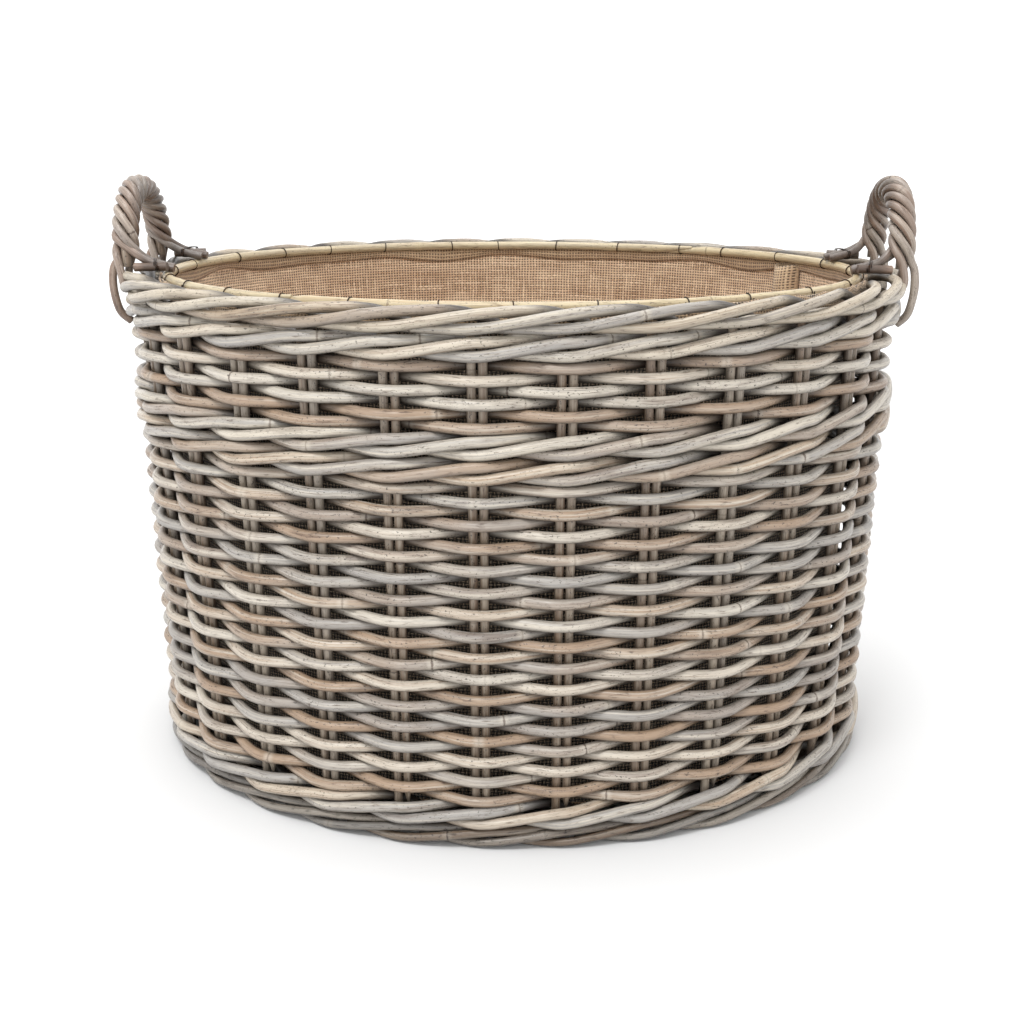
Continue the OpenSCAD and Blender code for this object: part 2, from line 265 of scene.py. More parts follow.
def cane_tree():
    """The tree that turns poly-lines into canes."""
    tree, given = new_tree("cane_from_line", "GeometryNodeTree", (
        ("INPUT", "Geometry", {"Geometry": None}),
        ("INPUT", "Float", {"Thickness": CANE_T, "Step": STEP, "Unevenness": 0.05,
                            "Joint spacing": JOINT_SPACING, "Joint swell": JOINT_SWELL}),
        ("INPUT", "Int", {"Sides": SIDES, "Seed": 1}),
        ("INPUT", "Material", {"Finish": None}),
        ("OUTPUT", "Geometry", {"Geometry": None})))

    line = add(tree, "GeometryNodeMeshToCurve", {"Mesh": given["Geometry"]}).outputs[0]
    resample = add(tree, "GeometryNodeResampleCurve", {"Curve": line, "Length": given["Step"]},
                   mode="LENGTH")
    line = add(tree, "GeometryNodeSetCurveNormal", {"Curve": resample.outputs[0]},
               mode="MINIMUM_TWIST").outputs[0]

    def stored(name):
        return add(tree, "GeometryNodeInputNamedAttribute", {"Name": name},
                   data_type="FLOAT").outputs[0]

    along = tree.nodes.new("GeometryNodeSplineParameter").outputs["Length"]
    shift = plus(tree, times(tree, stored("tone"), SHIFT_BY_TONE), given["Seed"])
    place = plus(tree, along, shift)
    flow = add(tree, "ShaderNodeCombineXYZ", {0: place, 1: shift}).outputs[0]
    lump = minus(tree, noise(tree, flow, 9.0), 0.5)
    away = joint_distance(tree, place, stored("tone"), given["Joint spacing"])
    collar = ramp(tree, away, COLLAR_NEAR, COLLAR_FAR, 1.0, 0.0)
    girth = plus(tree, 1.0, times(tree, lump, 2.0, given["Unevenness"]))
    girth = plus(tree, girth, times(tree, collar, given["Joint swell"]))
    girth = times(tree, girth, stored("girth"))

    keep = tree.nodes.new("GeometryNodeCaptureAttribute")
    for kind, name in (("FLOAT", "Along"), ("FLOAT", "Girth")):
        keep.capture_items.new(kind, name)
    for socket, value in zip(keep.inputs, (line, place, girth)):
        tree.links.new(value, socket)
    circle = add(tree, "GeometryNodeCurvePrimitiveCircle",
                 {"Resolution": given["Sides"], "Radius": 1.0}, mode="RADIUS").outputs[0]
    rim = tree.nodes.new("GeometryNodeCaptureAttribute")
    rim.capture_items.new("VECTOR", "Round")
    tree.links.new(circle, rim.inputs[0])
    tree.links.new(tree.nodes.new("GeometryNodeInputPosition").outputs[0], rim.inputs[1])

    half = times(tree, given["Thickness"], 0.5)
    swept = add(tree, "GeometryNodeCurveToMesh",
                {"Curve": keep.outputs[0], "Profile Curve": rim.outputs[0],
                 "Scale": times(tree, keep.outputs["Girth"], half), "Fill Caps": True}).outputs[0]
    cross = add(tree, "ShaderNodeSeparateXYZ",
                {0: scaled_by(tree, rim.outputs["Round"], half)}).outputs
    grain = add(tree, "ShaderNodeCombineXYZ",
                {0: keep.outputs["Along"], 1: cross[0], 2: cross[1]}).outputs[0]
    mesh = add(tree, "GeometryNodeStoreNamedAttribute",
               {"Geometry": swept, "Name": "grain", "Value": grain},
               data_type="FLOAT_VECTOR", domain="POINT").outputs[0]
    mesh = add(tree, "GeometryNodeSetShadeSmooth", {0: mesh}).outputs[0]
    mesh = add(tree, "GeometryNodeRealizeInstances", {0: mesh}).outputs[0]
    mesh = add(tree, "GeometryNodeSetMaterial",
               {"Geometry": mesh, "Material": given["Finish"]}).outputs[0]
    group_outputs(tree, Geometry=mesh)
    return tree


CANE = cane_tree()
print("cane tree:", len(CANE.nodes), "nodes")


# %% [markdown]
# ## Lines, and the piece they become
#
# Weaving patterns are easiest to write as a few corners, the way a weaver thinks of them:
# outside this pair, inside the next. Cane is springy, so it rounds every corner. Cutting
# each corner a few times (Chaikin's method) gives that curve and never leaves the pattern.


# %% Lines into pieces
def eased(corners, closed=False, cuts=3):
    """Corners rounded by cutting them, again and again."""
    points = np.asarray(corners, float)
    for _ in range(cuts):
        following = np.roll(points, -1, 0) if closed else points[1:]
        current = points if closed else points[:-1]
        near, far = current * 0.75 + following * 0.25, current * 0.25 + following * 0.75
        cut = np.stack([near, far], 1).reshape(-1, points.shape[1])
        points = cut if closed else np.vstack([points[:1], cut[1:-1], points[-1:]])
    return points


def finer(points, step):
    """Extra points along straight stretches, no more than step apart in the first column."""
    out = [points[0]]
    for a, b in zip(points[:-1], points[1:]):
        parts = max(1, math.ceil(abs(b[0] - a[0]) / step))
        out += [a + (b - a) * (i + 1) / parts for i in range(parts)]
    return np.array(out)


def mesh_of(name, points, faces, edges=()):
    mesh = bpy.data.meshes.new(name)
    mesh.from_pydata([tuple(p) for p in points], edges, faces)
    return mesh


def store(mesh, label, values, kind="FLOAT"):
    """One number, or one vector, for each point of the mesh."""
    part = "vector" if kind == "FLOAT_VECTOR" else "value"
    numbers = np.asarray(values, "f").ravel()
    mesh.attributes.new(label, kind, "POINT").data.foreach_set(part, numbers)


def shown(name, data):
    """A new object in the scene."""
    obj = bpy.data.objects.new(name, data)
    bpy.context.scene.collection.objects.link(obj)
    return obj


def applied(obj):
    """The object's mesh with its modifiers worked out."""
    depsgraph = bpy.context.evaluated_depsgraph_get()
    return bpy.data.meshes.new_from_object(obj.evaluated_get(depsgraph), depsgraph=depsgraph)


class Line:
    """One cane's middle line, with its own tone and its girth from end to end."""

    def __init__(self, points, closed=False, tone=None, girth=None):
        self.points, self.closed = np.asarray(points, float), closed
        self.tone = rng.random() if tone is None else tone
        self.girth = np.ones(len(self.points)) if girth is None else np.asarray(girth, float)


def line_object(name, lines):
    """A mesh of edges only, with each point's tone and girth."""
    verts, edges, tone, girth = [], [], [], []
    for line in lines:
        start, n = len(verts), len(line.points)
        verts += list(line.points)
        edges += [(start + i, start + i + 1) for i in range(n - 1)]
        if line.closed:
            edges.append((start + n - 1, start))
        tone += [line.tone] * n
        girth += list(line.girth)
    mesh = mesh_of(name, verts, [], edges)
    store(mesh, "tone", tone)
    store(mesh, "girth", girth)
    return shown(name, mesh)


def set_input(modifier, name, value):
    """Sets a modifier's input by its socket's identifier."""
    socket = next(s for s in modifier.node_group.interface.items_tree
                  if s.item_type == "SOCKET" and s.in_out == "INPUT" and s.name == name)
    modifier[socket.identifier] = value


def canes(name, lines, finish, slot, replaced, joints=(JOINT_SPACING, JOINT_SWELL), **inputs):
    """Gives the lines their thickness, and puts the piece in place of its CAD nodes."""
    draft = line_object(name + "_line", lines)
    modifier = draft.modifiers.new("cane", "NODES")
    modifier.node_group = CANE
    values = {"Thickness": CANE_T, "Step": STEP, "Sides": SIDES, "Finish": finish,
              "Joint spacing": joints[0], "Joint swell": joints[1], **inputs}
    for label, value in values.items():
        set_input(modifier, label, value)
    mesh = applied(draft)
    bpy.data.objects.remove(draft)
    store_shade_masks(mesh)
    return placed(name, mesh, finish, replaced)


def store_shade_masks(mesh):
    """Painted shade masks: how deep each point lies in the wall, and how much it faces down."""
    points = np.empty(len(mesh.vertices) * 3, "f")
    mesh.vertices.foreach_get("co", points)
    x, y, z = points.reshape(-1, 3).T
    a, b = half_w(z), half_d(z)
    q = np.hypot(x / a, y / b)
    off = (q - 1) * q / np.hypot(x / a ** 2, y / b ** 2)
    normals = np.empty(len(mesh.vertices) * 3, "f")
    mesh.vertex_normals.foreach_get("vector", normals)
    store(mesh, "recess", -off)
    store(mesh, "under", np.clip(-normals.reshape(-1, 3)[:, 2], 0, 1) ** 2)


def placed(name, mesh, finish, replaced):
    """A finished mesh as a piece of the basket, on the root body."""
    mesh.name = name
    mesh.materials.clear()
    mesh.materials.append(finish)
    obj = shown(name, mesh)
    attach(obj, "root")
    if replaced:
        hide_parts(*replaced)
    print(f"{name}: {len(mesh.polygons)} faces")
    return obj


# %% [markdown]
# ## The finish of weathered cane
#
# Grey-washed cane is never one colour. Each cane has its own tone, warm or cool; along it
# run fine fibres, broad pale and pinkish patches, long pale lines of painted sheen, dark
# rings at the leaf joints and a few black specks of mould; and it shines a little where the
# skin is whole. Painted shade darkens it deep in the weave and on its underside. All of that
# is in one node group, placed in each cane material with its own colours.


# %% Cane skin group
def colour(hex_code):
    """A hex colour as linear RGBA."""
    parts = [int(hex_code[i:i + 2], 16) / 255 for i in (0, 2, 4)]
    return tuple(p / 12.92 if p < 0.04045 else ((p + 0.055) / 1.055) ** 2.4 for p in parts) + (1.0,)


def new_material(name):
    """A material, its node tree and its shader."""
    material = bpy.data.materials.new(name)
    material.use_nodes = True
    return material, material.node_tree, material.node_tree.nodes["Principled BSDF"]


def relief(tree, shader, height, strength, distance):
    """Lets height stand out of the surface."""
    bump = add(tree, "ShaderNodeBump",
               {"Height": height, "Strength": strength, "Distance": distance})
    tree.links.new(bump.outputs[0], shader.inputs["Normal"])


# The first colour is that of real mould specks; the second is painted shade, mixed into canes deep
# in the wall and into their undersides.
MOULD, SHADE_BROWN = colour("1E1712"), colour("1B110B")
UNDER_SHADE = 0.95
print("mould", MOULD, "painted_shade", SHADE_BROWN)


# %% Cane skin: body colour and painted sheen
def attribute(tree, name, output="Fac"):
    return add(tree, "ShaderNodeAttribute", attribute_name=name).outputs[output]


def drawn_noise(tree, grain):
    """Noise drawn out along the cane: so many waves a metre along it and round it."""
    def drawn(along, across, shift=0.0, detail=2.0, rough=0.5):
        stretched = vmaths(tree, "MULTIPLY", grain, (along, across, across))
        moved = vmaths(tree, "ADD", stretched, (shift, shift, shift))
        return noise(tree, moved, 1.0, detail, rough)

    return {"fibres": drawn(45, 1700, 0, 4.0, 0.7), "sheen_streaks": drawn(9, 520, 5, 3.0, 0.6),
            "patches": drawn(14, 110, 9, 3.0, 0.6), "stretch": drawn(4, 12, 21, 1.0),
            "scuffs": drawn(90, 480, 33, 4.0, 0.7), "specks": drawn(420, 700, 47, 2.0, 0.6)}


def skin_body(tree, given, tone, waves):
    """Warm and cool stretches, paler canes with long pale lines of painted sheen, brown fibres and
    rubbed places.
    """
    own = maths(tree, "FRACT", times(tree, tone, 7.7))
    warmth = plus(tree, tone, times(tree, waves["stretch"], 0.9),
                  times(tree, waves["patches"], 0.6))
    body = mix(tree, ramp(tree, warmth, 0.90, 1.65), given["Cool"], given["Warm"])
    # Painted sheen: long pale lines along each cane, added to its own random paleness, mix it
    # towards the pale colour.
    pale_and_sheen = plus(tree, times(tree, own, 0.45), times(tree, waves["sheen_streaks"], 1.1))
    body = mix(tree, ramp(tree, pale_and_sheen, 0.60, 1.05, 0.0, 0.85), body, given["Pale"])
    lines = times(tree, ramp(tree, waves["fibres"], 0.50, 0.70), given["Fibre"])
    body = mix(tree, lines, body, given["Brown"])
    rubbed = ramp(tree, waves["patches"], 0.58, 0.72, 0.0, 0.45)
    body = mix(tree, rubbed, body, given["Brown"])
    scars = ramp(tree, waves["scuffs"], 0.57, 0.68)
    body = mix(tree, times(tree, scars, times(tree, given["Dirt"], 0.8)), body, given["Brown"])
    return body, rubbed, scars


# %% Cane skin: joints, mould and painted shade
def skin_marks(tree, given, body, grain, tone, waves):
    """Rings at the joints, black specks, and painted shade in the weave and under the canes."""
    marked = maths(tree, "FRACT", times(tree, tone, 31.7))
    place = add(tree, "ShaderNodeSeparateXYZ", {0: grain}).outputs[0]
    away = joint_distance(tree, place, tone, given["Joint spacing"])
    ragged = plus(tree, away, times(tree, minus(tree, waves["scuffs"], 0.5), 0.0035))
    body = mix(tree, ramp(tree, ragged, 0.0015, 0.0060, 0.35, 0.0), body, given["Pale"])
    ring = times(tree, ramp(tree, ragged, 0.0003, 0.0011, 0.85, 0.0), marked)
    body = mix(tree, ring, body, given["Brown"])
    mould = times(tree, ramp(tree, waves["specks"], 0.61, 0.67),
                  ramp(tree, waves["patches"], 0.40, 0.54))
    body = mix(tree, times(tree, mould, given["Dirt"]), body, MOULD)
    # Painted shade: points deep in the wall and on the canes' undersides are mixed towards a dark
    # brown.
    recess = plus(tree, attribute(tree, "recess"), times(tree, waves["patches"], 0.004))
    under = times(tree, attribute(tree, "under"), UNDER_SHADE)
    deep = maths(tree, "MAXIMUM", ramp(tree, recess, -0.003, 0.008), under)
    return mix(tree, times(tree, deep, given["Painted shade"]), body, SHADE_BROWN), ring


def cane_skin():
    """The whole skin, as a group of colours and values."""
    tree, given = new_tree("cane_skin", "ShaderNodeTree", (
        ("INPUT", "Color", dict.fromkeys(("Cool", "Warm", "Pale", "Brown"))),
        ("INPUT", "Float", {"Fibre": 0.5, "Dirt": 0.5, "Joint spacing": JOINT_SPACING,
                            "Painted shade": 0.0}),
        ("OUTPUT", "Color", {"Colour": None}),
        ("OUTPUT", "Float", {"Roughness": None, "Height": None})))
    grain, tone = attribute(tree, "grain", "Vector"), attribute(tree, "tone")
    waves = drawn_noise(tree, grain)
    body, rubbed, scars = skin_body(tree, given, tone, waves)
    body, ring = skin_marks(tree, given, body, grain, tone, waves)
    rough = ramp(tree, waves["fibres"], 0.35, 0.70, 0.26, 0.48, smooth=False)
    worn = times(tree, plus(tree, scars, rubbed), 0.22)
    rough = maths(tree, "ADD", rough, worn, clamp=True)
    height = minus(tree, times(tree, waves["fibres"], 0.7), times(tree, scars, 0.45))
    height = minus(tree, height, times(tree, ring, 0.8))
    group_outputs(tree, Colour=body, Roughness=rough, Height=height)
    return tree


CANE_SKIN = cane_skin()


print("cane skin:", len(CANE_SKIN.nodes), "nodes")


# %% [markdown]
# ### The same skin on seven kinds of cane
#
# Weavers lie in the light and stakes in the shade behind them, so the stakes' darker colours
# are painted shade; the foot's colours are darker still. Each gets a material of its own,
# with four colours (cool, warm, pale and brown) and its share of fibre, dirt and painted
# shade. A thin coat gives the low shine of whole skin.

# %% Cane finishes
def cane_finish(name, colours, fibre, dirt, joints=JOINT_SPACING, painted_shade=0.0):
    """A cane material with its own cool, warm, pale and brown."""
    material, tree, shader = new_material(name)
    shader.inputs["Coat Weight"].default_value = 0.12
    shader.inputs["Coat Roughness"].default_value = 0.28
    skin = add(tree, "ShaderNodeGroup", node_tree=CANE_SKIN)
    for label, code in zip(("Cool", "Warm", "Pale", "Brown"), colours.split()):
        skin.inputs[label].default_value = colour(code)
    for label, value in (("Fibre", fibre), ("Dirt", dirt), ("Joint spacing", joints),
                         ("Painted shade", painted_shade)):
        skin.inputs[label].default_value = value
    for label, socket in (("Colour", "Base Color"), ("Roughness", "Roughness")):
        tree.links.new(skin.outputs[label], shader.inputs[socket])
    relief(tree, shader, skin.outputs["Height"], 0.6, 0.0006)
    return material


# The last number of each finish is its share of painted shade in recesses and on undersides.
WEAVER = cane_finish("weathered_weaver", "918D88 97806A C3BBAD 49362B", 0.7, 0.85, 0.26, 0.93)
WALE = cane_finish("weathered_wale", "95918C 9A836C C3BAAA 4D3A2E", 0.65, 0.75, 0.27, 0.9)
BORDER = cane_finish("weathered_border", "8F8A84 93806A B8AE9C 46352A", 0.7, 0.75, 0.21, 0.9)
# The stakes stand in the shade behind the weavers, and these darker colours are painted shade; the
# base sticks and the handle hearts share them.
STAKE = cane_finish("shaded_stake", "8F857A 7F6B59 A99D8D 392A21", 0.6, 0.8, 0.18, 0.9)
HANDLE = cane_finish("handle_cane", "8E837A 836E60 A99E91 44332A", 0.6, 0.5, 0.19, 0.6)
HOOP = cane_finish("pale_hoop", "A09480 A28864 C2B492 5A4431", 0.6, 0.6, 0.23)
FOOT = cane_finish("foot_cane", "6F6B66 665545 8C8479 241A14", 0.6, 0.9, 0.17, 0.95)
print("cane finishes:", [m.name for m in (WEAVER, WALE, BORDER, STAKE, HANDLE, HOOP, FOOT)])

# %% [markdown]
# ## Plain weave
#
# One cane in each course goes outside a pair of stakes, inside the next, and so on round.
# The next course does the opposite. As there is an even number of pairs, each course could
# be a closed ring. Cane is stiff, so between two pairs it runs almost straight and bends
# only where a pair pushes it. Every bend is a little deeper or shallower than the last.


# %% Courses of weave
DWELL = (HALF_PAIR + STAKE_T / 2) / PITCH
COURSES_A_NODE = 4
ROUND_OFF = 0.001
SAG = 0.0007


def course_line(parity, z, per_pair=16):
    """One course: flat against each pair, and nearly straight from pair to pair."""
    pair = np.arange(PAIRS)
    outside = np.where((pair + parity) % 2 == 0, THROW, -THROW)
    push = outside * (1 + 0.14 * (rng.random(PAIRS) - 0.3))
    corners = np.c_[pair - DWELL, pair + DWELL].ravel()
    k = np.arange(PAIRS * per_pair) / per_pair
    off = np.interp(k, corners, np.repeat(push, 2), period=PAIRS)
    sag = np.interp(k, pair, SAG * (rng.random(PAIRS) - 0.5), period=PAIRS)
    for _ in range(2):
        off = (np.roll(off, 1) + off + np.roll(off, -1)) / 3
        sag = (np.roll(sag, 3) + sag + np.roll(sag, -3)) / 3
    return Line(wall_pt(k, off, z + sag), closed=True)


def course_heights(first, last, count):
    """The middle heights of the courses, spread evenly over the nodes' own room."""
    low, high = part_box(first)[0][2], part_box(last)[1][2]
    return np.linspace(low + CANE_T / 2, high - CANE_T / 2, count)


def nodes_named(start):
    return sorted(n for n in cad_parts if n.startswith(start))


def weave(nodes, count, label):
    """All the courses between two wales, a few to each node."""
    heights = course_heights(nodes[0], nodes[-1], count)
    for n, node in enumerate(nodes):
        rows = range(n * COURSES_A_NODE, min((n + 1) * COURSES_A_NODE, count))
        lines = [course_line(r % 2, heights[r]) for r in rows]
        canes(f"{label}_{n + 1:02d}", lines, WEAVER, "weaver_cane", [node], joints=(0.21, 0.07),
              Unevenness=0.075, Seed=11 + n)


lower = nodes_named("lower_weave_")
upper = nodes_named("upper_weave_")
for nodes, label in ((lower, "weave_below_waist"), (upper, "weave_above_waist")):
    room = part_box(nodes[-1])[1][2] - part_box(nodes[0])[0][2] + ROUND_OFF
    weave(nodes, 2 * int(room / (2 * (CANE_T + COURSE_GAP))), label)

# %% [markdown]
# ## Waling
#
# Three canes chase one another round the wall. Each passes outside two pairs, climbing by
# its own thickness, and then inside one, coming down again. Seen from outside this gives
# two canes on the slant that always rise to the right. Each cane starts and ends inside.


# %% Waling
WALE_RISE = CANE_T * 7 / 6
WALE_PROUD = 0.0028
WALE_THROW = THROW + WALE_PROUD


def wale_corners(first, last, z):
    """Outside two pairs, rising, and inside the third."""
    corners = []
    for m in range(first, last + 1):
        if m % 3 == 0:
            corners += [] if m == first else [(m - DWELL * 1.2, -WALE_THROW, z + WALE_RISE)]
            corners += [] if m == last else [(m + DWELL * 1.2, -WALE_THROW, z)]
        else:
            high = z + WALE_RISE * (m % 3 - 1)
            corners += [(m - DWELL, WALE_THROW, high - WALE_RISE * 0.06),
                        (m + DWELL, WALE_THROW, high)]
    return corners


def wale(name, node):
    """One round of three canes, each a third of the way round behind the last."""
    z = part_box(node)[0][2] + CANE_T / 2
    lines = []
    for j in range(3):
        first, last = 3 * (PAIRS * j // 3), 3 * (PAIRS * (j + 1) // 3)
        path = finer(eased(wale_corners(first, last, z)), 0.09)
        lines.append(Line(wall_pt(path[:, 0], path[:, 1], path[:, 2])))
    canes(name, lines, WALE, "wale_cane", [node], joints=(0.24, 0.06), Unevenness=0.06, Seed=31)


for name, node in (("wale_foot", "bottom_wale"), ("wale_waist_low", "waist_wale_lower"),
                   ("wale_waist_high", "waist_wale_upper"), ("wale_rim", "top_wale")):
    wale(name, node)

# %% [markdown]
# ## Rim and foot
#
# The stakes' own ends make the two borders. At the rim each comes out between its
# neighbours, climbs outside two pairs and turns in over the top. At the foot the same
# plait runs the other way up. Both are lists of corners again, one cane to each pair.


# %% Borders
def border(name, node, corners, thickness, finish, seed):
    """One cane to each pair, all bent alike, but none pushed out quite as far as the next."""
    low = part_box(node)[0][2] + thickness / 2
    lines = []
    for i in range(PAIRS):
        wobble = 1 + 0.14 * (rng.random() - 0.6)
        path = np.array(corners, float) * (1, wobble, 1) + (i, 0, low)
        path = finer(eased(path), 0.06)
        points = wall_pt(path[:, 0], path[:, 1], path[:, 2])
        lines.append(Line(points, girth=np.full(len(path), 0.90 + 0.08 * rng.random())))
    canes(name, lines, finish, "border_cane", [node], joints=(0.17, 0.07),
          Thickness=thickness, Unevenness=0.07, Seed=seed)


rim_rise = CANE_T * 4 / 3
border("border_rim", "rim_border",
       [(-0.02, 0, -0.004), (0.04, 0.001, 0), (0.5, BORDER_THROW * 0.62, 0),
        (1, BORDER_THROW, 0), (1.5, BORDER_THROW * 1.04, rim_rise * 0.5),
        (2, BORDER_THROW, rim_rise), (2.42, BORDER_THROW * 0.35, rim_rise * 1.05),
        (2.80, -CANE_T * 0.85, rim_rise * 0.95), (3.15, -CANE_T * 0.98, rim_rise * 0.35),
        (3.35, -CANE_T * 0.98, -0.004)],
       CANE_T, BORDER, 43)
foot_rise = STAKE_T * 1.52
foot_throw = STAKE_T * 1.36
border("border_foot", "foot_border",
       [(-2.8, -STAKE_T * 0.7, 0.0002), (-2.45, foot_throw * 0.3, 0), (-2, foot_throw, 0),
        (-1.5, foot_throw * 1.04, foot_rise * 0.5), (-1, foot_throw, foot_rise),
        (-0.5, foot_throw * 0.62, foot_rise), (0, 0, foot_rise)],
       STAKE_T, FOOT, 47)

# %% [markdown]
# ## Stakes
#
# Two upright canes stand side by side at each place. The main stake runs from the foot to
# the rim. The bye-stake is pushed in beside it and ends in a slanting cut just above the
# bottom wale, which shows as a point. Girth along the line makes that point.


# %% Stakes
POINT_LENGTH, POINT_GIRTH = 0.012, 0.12
BYE_DROP = 0.006


def stake_side(i):
    """The side of the basket that pair i stands on."""
    turn = math.degrees(turn_at(i)) % 360
    if turn > 315 or turn <= 45:
        return "right"
    return "back" if turn <= 135 else "left" if turn <= 225 else "front"


def stake_line(i, shift, z0, z1, point):
    """One upright cane, with a cut point at its foot where it has one."""
    z = np.linspace(z0, z1, 60)
    sway = 0.0004 * np.sin(z * 40 + 6 * rng.random())
    girth = 0.96 + 0.08 * rng.random() + 0 * z
    if point:
        girth *= np.clip((z - z0) / POINT_LENGTH + POINT_GIRTH, POINT_GIRTH, 1)
    return Line(wall_pt(i + shift / PITCH + 0 * z, sway, z), girth=girth)


def stakes(side):
    """The main stakes and the bye-stakes of one side."""
    own = [i for i in range(PAIRS) if stake_side(i) == side]
    for kind, shift, drop, point in (("main", -HALF_PAIR, 0.0, False),
                                     ("bye", HALF_PAIR, BYE_DROP, True)):
        node = f"{kind}_stakes_{side}"
        (_, _, z0), (_, _, z1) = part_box(node)
        lines = [stake_line(i, shift, z0 - drop, z1, point) for i in own]
        canes(f"stakes_{kind}_{side}", lines, STAKE, "stake_cane", [node], joints=(0.16, 0.05),
              Thickness=STAKE_T, Sides=10, Unevenness=0.04, Seed=53)


for side in ("front", "right", "back", "left"):
    stakes(side)

# %% [markdown]
# ## Rim hoop and its wire
#
# A pale cane hoop lies inside the border and traps the top of the cloth. Thin dark wire
# goes round it between every two pairs. Each tie is one turn of a short helix.

# %% Rim hoop
TAPER = 0.6
hoop_low, hoop_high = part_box("rim_hoop")
HOOP_Z = (hoop_low[2] + hoop_high[2]) / 2
HOOP_OFF = (hoop_high[0] - CANE_T / 2) - float(half_w(HOOP_Z))


def hoop_line(start, end, lift, tone):
    """Half the hoop, thinned at both ends, where it lies on the other half."""
    k = np.linspace(start, end, 360)
    ends = np.minimum((k - start), (end - k)).clip(0, TAPER) / TAPER
    sway = 0.0007 * np.sin(k * 2.1 + tone * 9)
    return Line(wall_pt(k, HOOP_OFF + sway, HOOP_Z + lift * (1 - ends)), tone=tone,
                girth=0.45 + 0.55 * ends)


halves = [hoop_line(3.2, 17.6, 0.0022, 0.35), hoop_line(17.2, 31.6, -0.0022, 0.62)]
canes("hoop_rim", halves, HOOP, "hoop_cane", ["rim_hoop"], joints=(0.23, 0.08),
      Thickness=CANE_T * 0.94, Unevenness=0.07, Seed=61)


# %% Wire ties
def metal(name, base, rough):
    """Dull wire with rust on it."""
    material, tree, shader = new_material(name)
    where = add(tree, "ShaderNodeTexCoord").outputs["Object"]
    rust = ramp(tree, noise(tree, where, 400.0, 3.0, 0.6), 0.45, 0.65)
    tree.links.new(mix(tree, rust, colour(base), colour("4A3324")), shader.inputs["Base Color"])
    tree.links.new(ramp(tree, rust, 0, 1, rough, rough + 0.3), shader.inputs["Roughness"])
    shader.inputs["Metallic"].default_value = 0.7
    return material


WIRE = metal("tie_wire", "2E2824", 0.45)
WIRE_T = 0.0011
AS_WIRE = {"joints": (9.0, 0.0), "Thickness": WIRE_T, "Step": 0.0016, "Sides": 6,
           "Unevenness": 0.0}


def helix_tie(k, turns, radius, pitch):
    """A helix round the hoop at pair k."""
    turn = np.linspace(0, 2 * math.pi * turns, int(18 * turns))
    off = HOOP_OFF + radius * np.cos(turn)
    z = HOOP_Z + radius * np.sin(turn)
    along = (turn / (2 * math.pi) - turns / 2) * pitch / PITCH
    return Line(wall_pt(k + along, off, z), tone=0.5)


ties = [helix_tie(i + 0.5 + 0.3 * (rng.random() - 0.5), 1.05, CANE_T / 2 + 0.0003,
                  0.0030 * rng.choice((-1, 1))) for i in range(PAIRS)]
canes("ties_rim", ties, WIRE, "wire", ["rim_ties"], Seed=3, **AS_WIRE)

# %% [markdown]
# ## Handles
#
# Five canes are laid round a core like the strands of a rope, and the rope is bent to a
# loop. At the border the lay opens: one cane runs down outside and tucks in under the rim,
# two cross over it to the hoop beside a short peg, and two end on the border. A line for
# each cane is the loop's own line plus a circle that turns as it goes. The left handle is
# the right one turned half round, so both are laid the same way.

# %% The handle's loop
HANDLE_SPAN = 0.100
HANDLE_OUT = 0.012
HANDLE_TURNS = 3
HANDLE_T = 0.007
STRANDS = 5
CROSSING = (2, 3)
ROPE_R = 0.0083
rope_base = RIM_H + 0.004
rope_top = cad_box[1][2] - ROPE_R - HANDLE_T / 2
leg_turn = math.asin(HANDLE_SPAN / 2 / float(half_d(RIM_H)))
leg_x = float(wall_at(np.array(leg_turn), HANDLE_OUT, RIM_H)[0])
over_h = HANDLE_T / 2 + 0.0030
tail_off = -HOOP_OFF + 0.004
tail_spread = HANDLE_T * 0.7
peg_spread = tail_spread + HANDLE_T + 0.001
WALE_TOP_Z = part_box("top_wale")[0][2]
print(f"handle {HANDLE_SPAN:.3f} m wide, {rope_top - rope_base:.3f} m high, {leg_x:.3f} m out")


def arch(share):
    """The rope's middle line, with share from 0 at the near leg to 1 at the far one."""
    turn = np.pi * np.asarray(share)
    c, s = np.cos(turn), np.sin(turn)
    y = -HANDLE_SPAN / 2 * np.sign(c) * np.abs(c) ** 0.9
    z = rope_base + (rope_top - rope_base) * np.abs(s) ** 0.9
    return np.stack([leg_x + 0 * y, y, z], -1)


def strand(n, share):
    """Cane n of the rope: the loop's own line, plus a circle that turns as it goes."""
    ahead = arch(np.clip(share + 0.004, 0.0005, 0.9995))
    behind = arch(np.clip(share - 0.004, 0.0005, 0.9995))
    tangent = (ahead - behind) / np.linalg.norm(ahead - behind, axis=-1)[..., None]
    out = np.array([1.0, 0, 0])
    side = np.cross(out, tangent)
    turn = 2 * math.pi * (n / STRANDS + HANDLE_TURNS * np.asarray(share))
    ring = np.cos(turn)[..., None] * out + np.sin(turn)[..., None] * side
    return arch(share) + ROPE_R * ring


# %% The canes' tails
def leg_pt(side, spread, off, z):
    """A point beside a leg of the loop, off metres outside the middle of the wall."""
    y = side * (HANDLE_SPAN / 2 + spread)
    turn = math.asin(y / float(half_d(z)))
    a, b = float(half_w(z)), float(half_d(z))
    nx = b * math.cos(turn) / math.hypot(b * math.cos(turn), a * math.sin(turn))
    return (a * math.cos(turn) + off / nx, y, z)


